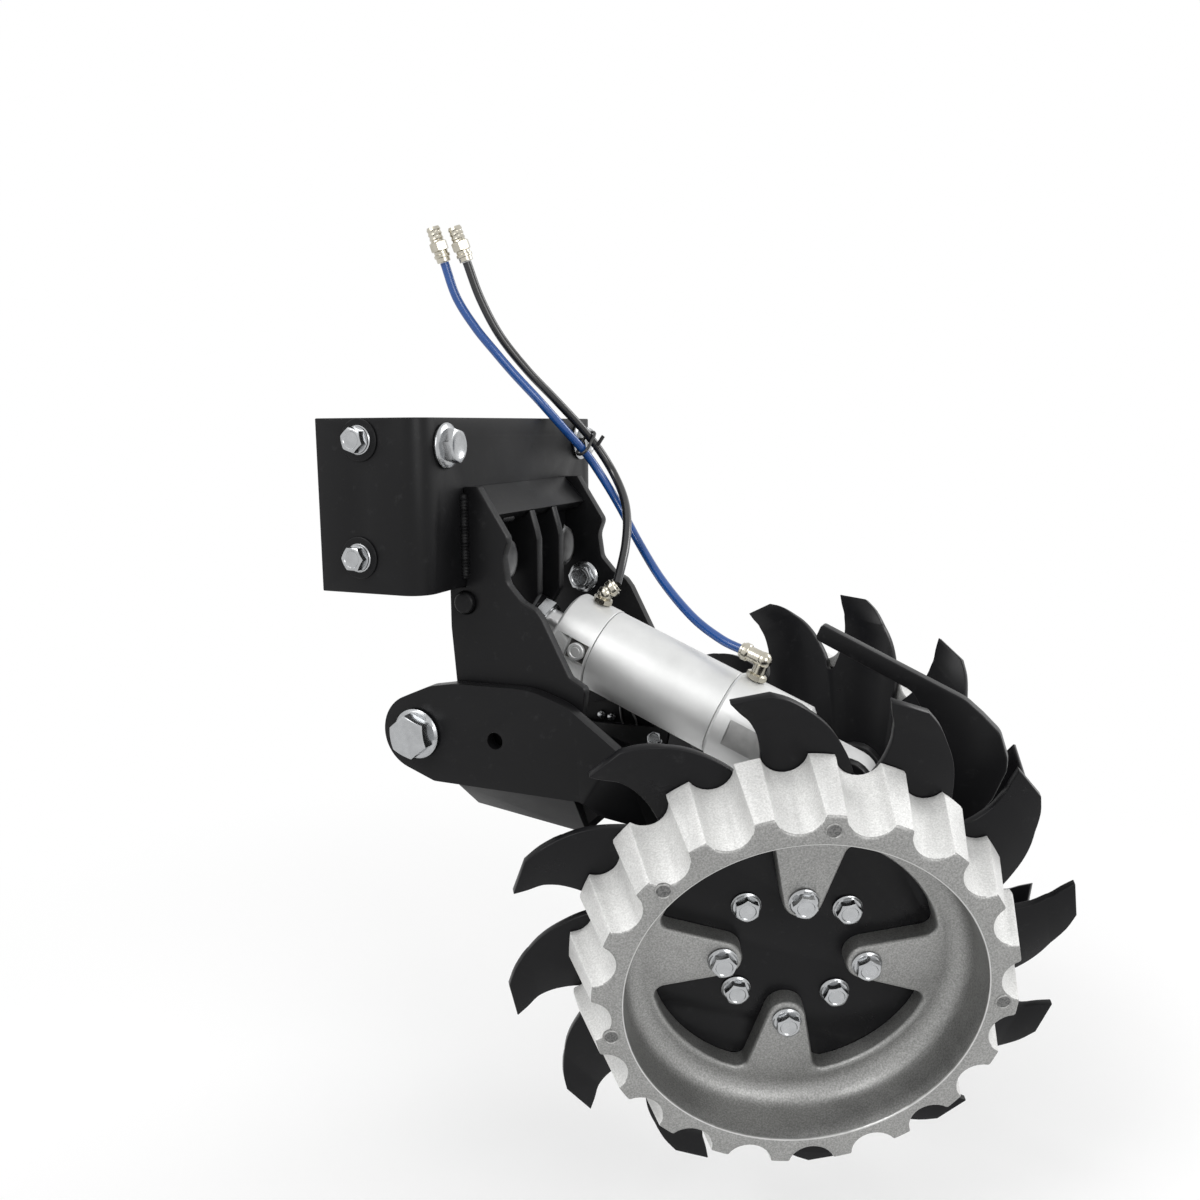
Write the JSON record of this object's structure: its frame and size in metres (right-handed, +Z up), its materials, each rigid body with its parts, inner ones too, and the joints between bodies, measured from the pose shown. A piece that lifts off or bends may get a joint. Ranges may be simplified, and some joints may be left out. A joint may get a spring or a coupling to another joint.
{
  "type": "row cleaner",
  "caption": "Row cleaner: toothed discs with cast floaters on a swinging arm, raised by an air cylinder and bolted on a bracket",
  "frame": {"origin": "centre of the flat rear face of the mounting bracket's cross plate", "axes": "+X along the direction of travel, away from the planter; +Z up; -Y the side seen in the picture"},
  "size_m": [0.4415, 0.3584, 0.5987],
  "materials": {
    "black_paint": "satin",
    "disc_paint": "satin",
    "guard_paint": "satin",
    "cast_aluminium": "sand cast, satin",
    "cylinder_aluminium": "satin",
    "zinc": "zinc plated",
    "chrome": "polished",
    "dark_steel": "satin",
    "bronze": "satin",
    "nickel": "nickel plated, satin",
    "blue_nylon": "gloss",
    "black_nylon": "gloss",
    "tie_nylon": "matte"
  },
  "bodies": {
    "mount": {"mounting_bracket": "black_paint", "side_plate_near": "black_paint", "side_plate_far": "black_paint", "top_gusset": "black_paint", "rod_ear_near": "black_paint", "rod_ear_far": "black_paint", "face_bolt_near": "zinc", "face_bolt_far": "zinc", "flange_bolt_upper": "zinc", "flange_bolt_lower": "zinc", "plate_bolt_near": "zinc", "plate_bolt_far": "zinc", "stud_near": "black_paint", "stud_far": "zinc", "pivot_bolt": "zinc", "pivot_nut": "zinc", "pivot_tube": "black_paint", "rod_pin": "zinc", "rod_pin_nut": "zinc", "blue_air_line": "blue_nylon", "black_air_line": "black_nylon", "blue_union": "nickel", "black_union": "nickel", "line_tie": "tie_nylon"},
    "arm": {"arm_plate_near": "black_paint", "arm_plate_far": "black_paint", "arm_cross_plate": "black_paint", "centre_block": "black_paint", "pivot_bushing_near": "bronze", "pivot_bushing_far": "bronze", "cylinder_ear_near": "black_paint", "cylinder_ear_far": "black_paint", "cylinder_pin": "zinc", "cylinder_pin_nut": "zinc", "spindle_near": "black_paint", "spindle_far": "black_paint", "guard_plate": "guard_paint"},
    "near_wheel": {"disc_near": "disc_paint", "floater_near": "cast_aluminium", "hub_near": "black_paint", "bearing_near": "dark_steel"},
    "far_wheel": {"disc_far": "disc_paint", "floater_far": "cast_aluminium", "hub_far": "black_paint", "bearing_far": "dark_steel"},
    "barrel": {"cylinder_barrel": "cylinder_aluminium", "head_cap": "cylinder_aluminium", "end_cap": "cylinder_aluminium", "head_elbow": "nickel", "end_elbow": "nickel", "head_plug": "zinc"},
    "rod": {"piston_rod": "chrome", "piston": "dark_steel", "rod_eye": "black_paint", "jam_nut": "zinc"}
  },
  "joints": [
    {"name": "arm_lift", "type": "hinge", "parent": "mount", "child": "arm", "pos_m": [-0.022, 0, -0.15], "axis": [0, -1, 0], "range_deg": [-14, 10], "deforming": ["blue_air_line", "black_air_line"]},
    {"name": "near_spin", "type": "hinge", "parent": "arm", "child": "near_wheel", "pos_m": [0.226, -0.086, -0.253], "axis": [0.4141, -0.8881, -0.1994], "continuous": true},
    {"name": "far_spin", "type": "hinge", "parent": "arm", "child": "far_wheel", "pos_m": [0.202, 0.086, -0.239], "axis": [0.4141, 0.8881, -0.1994], "continuous": true},
    {"name": "rod_swing", "type": "hinge", "parent": "mount", "child": "rod", "pos_m": [0.002, 0, -0.076], "axis": [0, -1, 0], "range_deg": [-13.6, 9.7]},
    {"name": "barrel_swing", "type": "hinge", "parent": "arm", "child": "barrel", "pos_m": [0.242, 0, -0.1755], "axis": [0, -1, 0], "range_deg": [-0.35, 0.45]}
  ],
  "couplings": [
    {"joint": "rod_swing", "follows": "arm_lift", "ratio": 0.9688},
    {"joint": "barrel_swing", "follows": "arm_lift", "ratio": -0.0312}
  ]
}
